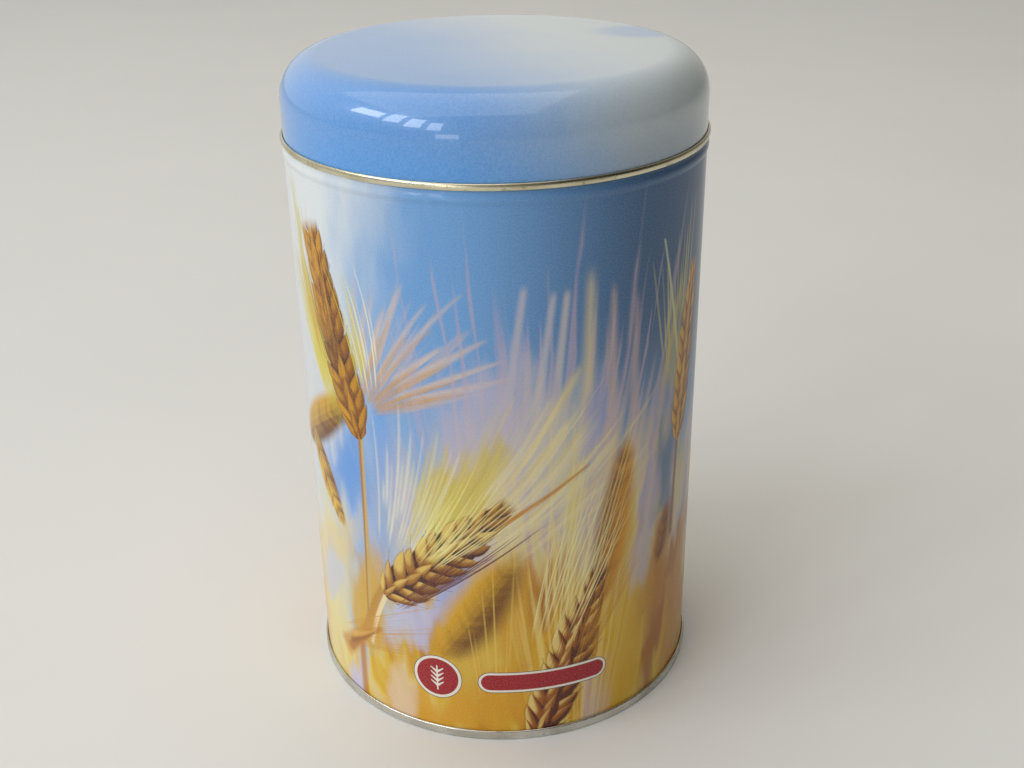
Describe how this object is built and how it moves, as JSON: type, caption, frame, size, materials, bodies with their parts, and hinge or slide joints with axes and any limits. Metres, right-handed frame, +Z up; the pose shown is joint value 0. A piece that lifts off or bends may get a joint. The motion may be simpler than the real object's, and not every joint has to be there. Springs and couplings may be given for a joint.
{
  "type": "round slip-lid food tin",
  "caption": "Tall round printed tin with a double-seamed base, a beaded wall with a recessed neck and a slip lid with a rounded shoulder and rolled hem.",
  "frame": {"origin": "on the ground at the centre of the foot's seam", "axes": "+Z up the tin's axis towards the lid, -Y towards the front of the print, the side seam on +Y"},
  "size_m": [0.1166, 0.1166, 0.1858],
  "materials": {
    "printed_wall": "gloss varnish over a printed cereal field and blue sky, plain lacquered tinplate inside",
    "plain_tinplate": "bright tinplate with a thin clear lacquer",
    "printed_lid": "gloss varnish over a printed sky, plain lacquered tinplate inside and on the hem"
  },
  "bodies": {
    "tin": {"body_wall": "printed_wall", "base_end": "plain_tinplate"},
    "lid": {"lid": "printed_lid"}
  },
  "joints": [
    {"name": "lid_lift", "type": "slide", "parent": "tin", "child": "lid", "axis": [0, 0, 1], "range_m": [0, 0.06]}
  ]
}
